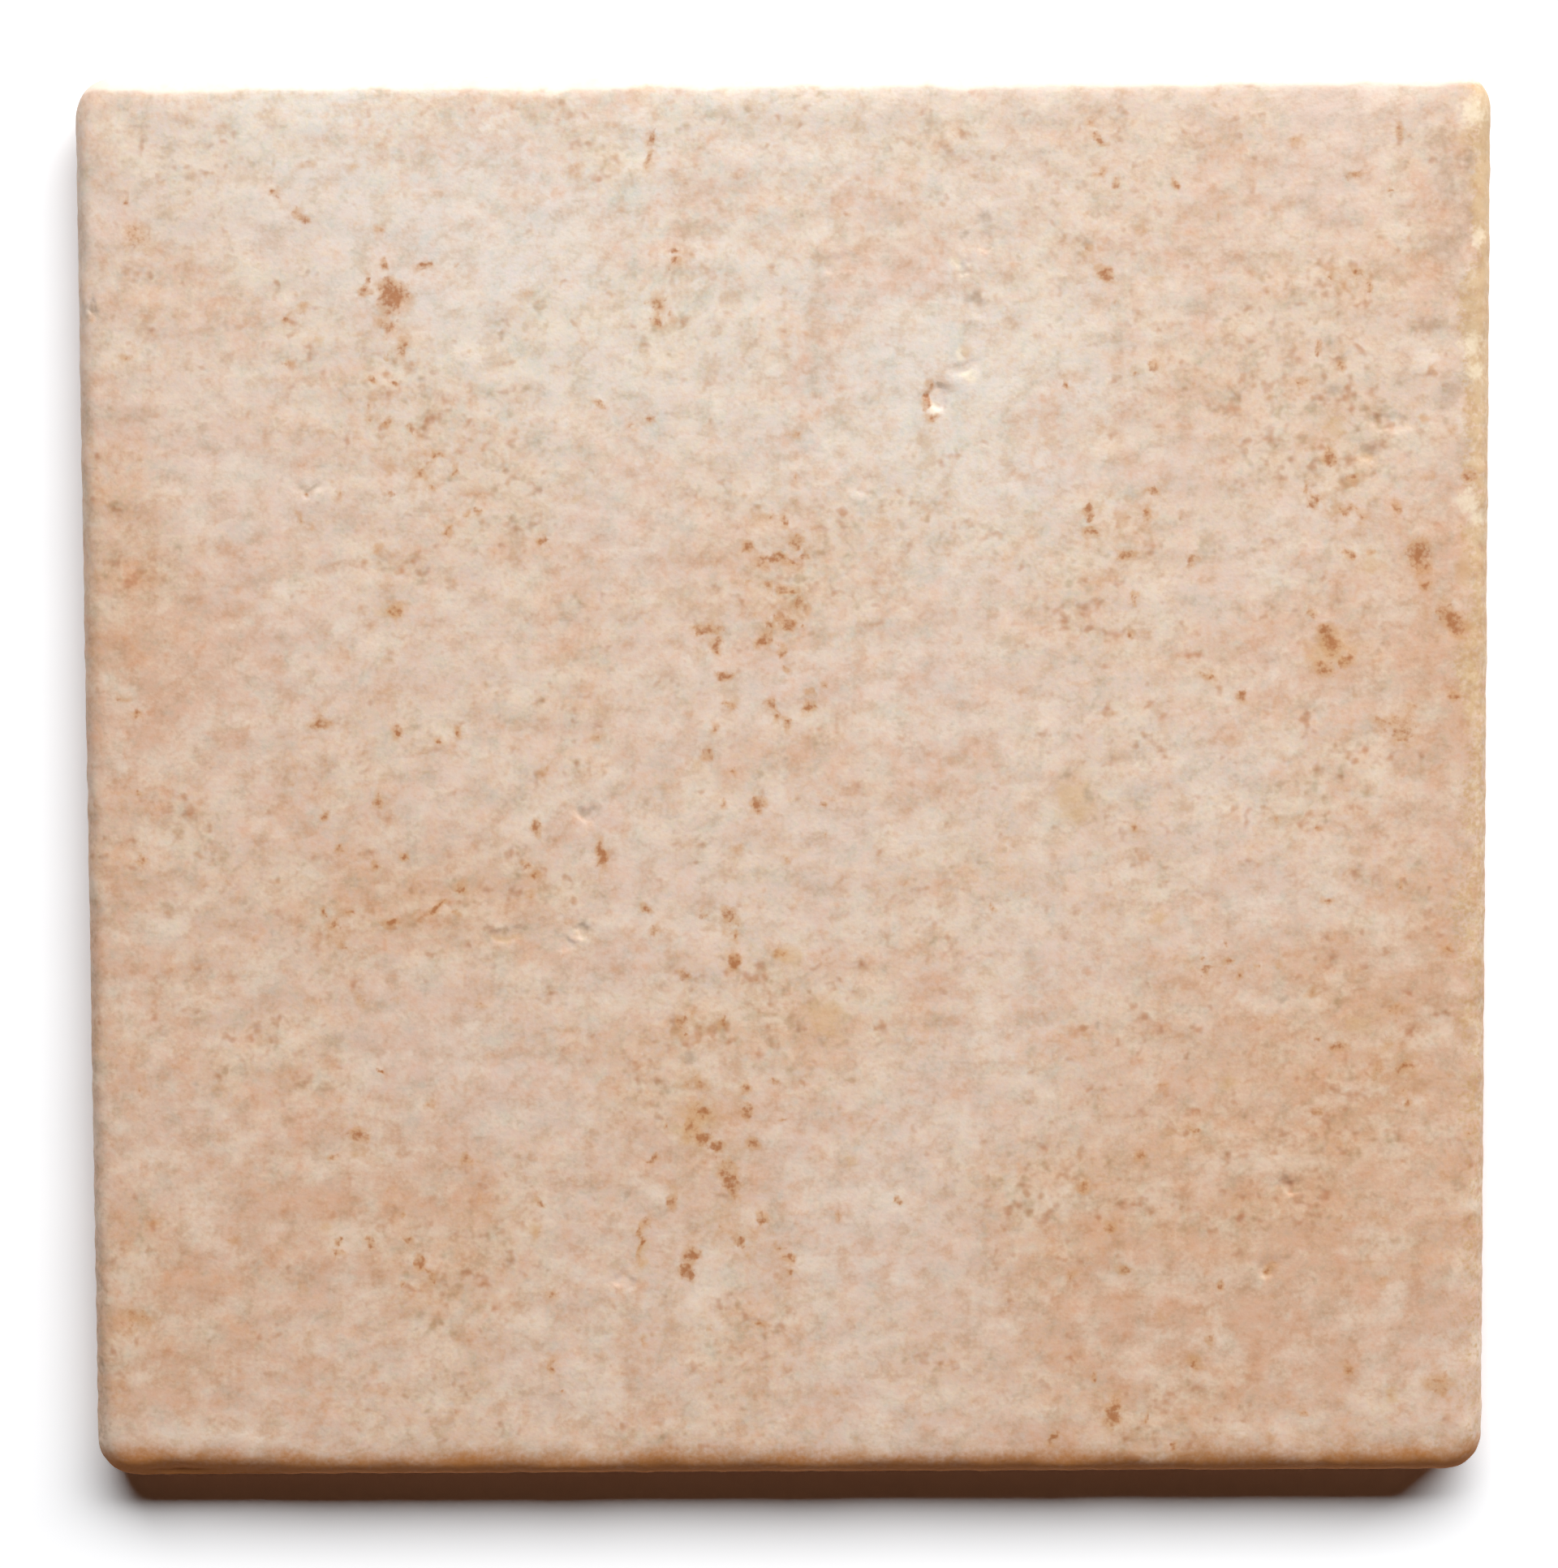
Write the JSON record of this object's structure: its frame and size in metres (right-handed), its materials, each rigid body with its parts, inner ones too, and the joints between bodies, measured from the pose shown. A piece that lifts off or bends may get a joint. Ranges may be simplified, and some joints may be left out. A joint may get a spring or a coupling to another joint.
{
  "type": "clinker tile",
  "caption": "Square fired clay floor tile with a matt mottled glaze, rounded corners, a rolled-over edge and a keyed back for bedding in adhesive.",
  "frame": {"origin": "middle of the bedding plane, which is the plane of the rim and ribs on the back", "axes": "+Z out of the glazed face, X and Y along the sides of the tile"},
  "size_m": [0.197, 0.197, 0.01],
  "materials": {
    "matt_glazed_clinker": "matte"
  },
  "bodies": {
    "root": {"tile": "matt_glazed_clinker"}
  },
  "joints": []
}
